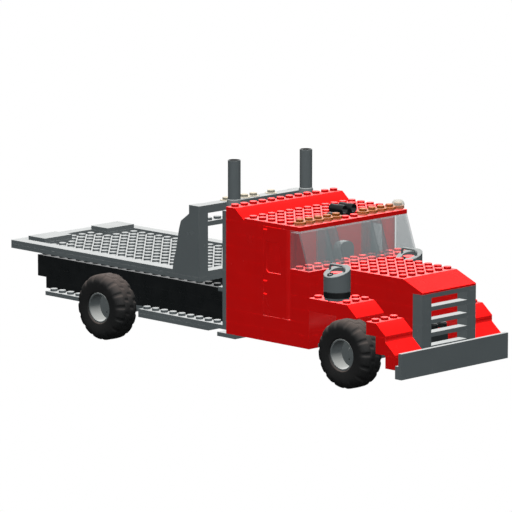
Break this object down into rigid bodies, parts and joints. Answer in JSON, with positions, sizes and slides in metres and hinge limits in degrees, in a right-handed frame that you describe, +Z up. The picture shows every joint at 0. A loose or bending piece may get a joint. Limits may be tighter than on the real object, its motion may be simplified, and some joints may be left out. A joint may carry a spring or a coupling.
{
  "type": "toy flatbed truck",
  "caption": "Flatbed truck built from studded toy bricks, with a long hood, sleeper cab, opening doors, free-turning wheels, headboard and low-railed studded bed.",
  "frame": {"origin": "on the floor under the middle of the whole length and width", "axes": "+X forward towards the grille, +Y to the truck's left side, +Z up"},
  "size_m": [0.3494, 0.106, 0.1264],
  "materials": {
    "red_brick": "glossy red moulded plastic",
    "grey_brick": "glossy dark grey moulded plastic",
    "black_brick": "glossy black moulded plastic",
    "rim_plastic": "glossy mid grey moulded plastic",
    "tyre_rubber": "soft matt black rubber",
    "clear_plastic": "clear moulded plastic",
    "orange_lens": "clear orange moulded plastic",
    "yellow_lens": "clear yellow moulded plastic"
  },
  "bodies": {
    "chassis": {"cab_side_left": "red_brick", "cab_side_right": "red_brick", "cab_walls": "red_brick", "cowl": "red_brick", "roof_plate": "red_brick", "sleeper_top": "red_brick", "hood_top": "red_brick", "hood_nose": "red_brick", "hood_sides": "red_brick", "fender_left": "red_brick", "fender_right": "red_brick", "canister_plugs": "red_brick", "base_plates": "grey_brick", "step_plate": "grey_brick", "front_frame": "grey_brick", "axle_front": "grey_brick", "axle_rear": "grey_brick", "bed_deck": "grey_brick", "bed_rails": "grey_brick", "bed_blocks": "grey_brick", "headboard_posts": "grey_brick", "headboard_bars": "grey_brick", "cab_back_panel": "grey_brick", "cab_floor": "grey_brick", "grille_frame": "grey_brick", "grille_slats": "grey_brick", "bumper": "grey_brick", "engine_block": "grey_brick", "stack_left": "grey_brick", "stack_right": "grey_brick", "canister_feet": "grey_brick", "canister_drums": "grey_brick", "seats": "grey_brick", "side_beam_left": "black_brick", "side_beam_right": "black_brick", "bed_carriers": "black_brick", "roof_horn": "black_brick", "engine_heads": "black_brick", "canister_bands": "black_brick", "windscreen": "clear_plastic", "roof_dome": "clear_plastic", "roof_markers": "orange_lens", "headboard_lamps": "yellow_lens"},
    "wheel_front_left": {"rim_front_left": "rim_plastic", "tyre_front_left": "tyre_rubber"},
    "wheel_front_right": {"rim_front_right": "rim_plastic", "tyre_front_right": "tyre_rubber"},
    "wheel_rear_left": {"rim_rear_left": "rim_plastic", "tyre_rear_left": "tyre_rubber"},
    "wheel_rear_right": {"rim_rear_right": "rim_plastic", "tyre_rear_right": "tyre_rubber"},
    "door_left": {"door_left": "red_brick"},
    "door_right": {"door_right": "red_brick"}
  },
  "joints": [
    {"name": "spin_front_left", "type": "hinge", "parent": "chassis", "child": "wheel_front_left", "pos_m": [0.1287, 0.0445, 0.0213], "axis": [0, 1, 0], "continuous": true},
    {"name": "spin_front_right", "type": "hinge", "parent": "chassis", "child": "wheel_front_right", "pos_m": [0.1287, -0.0445, 0.0213], "axis": [0, 1, 0], "continuous": true},
    {"name": "spin_rear_left", "type": "hinge", "parent": "chassis", "child": "wheel_rear_left", "pos_m": [-0.08667, 0.0445, 0.0213], "axis": [0, 1, 0], "continuous": true},
    {"name": "spin_rear_right", "type": "hinge", "parent": "chassis", "child": "wheel_rear_right", "pos_m": [-0.08667, -0.0445, 0.0213], "axis": [0, 1, 0], "continuous": true},
    {"name": "hinge_door_left", "type": "hinge", "parent": "chassis", "child": "door_left", "pos_m": [0.07728, 0.04408, 0.0637], "axis": [0, 0, -1], "range_deg": [0, 80]},
    {"name": "hinge_door_right", "type": "hinge", "parent": "chassis", "child": "door_right", "pos_m": [0.07728, -0.04408, 0.0637], "axis": [0, 0, 1], "range_deg": [0, 80]}
  ]
}
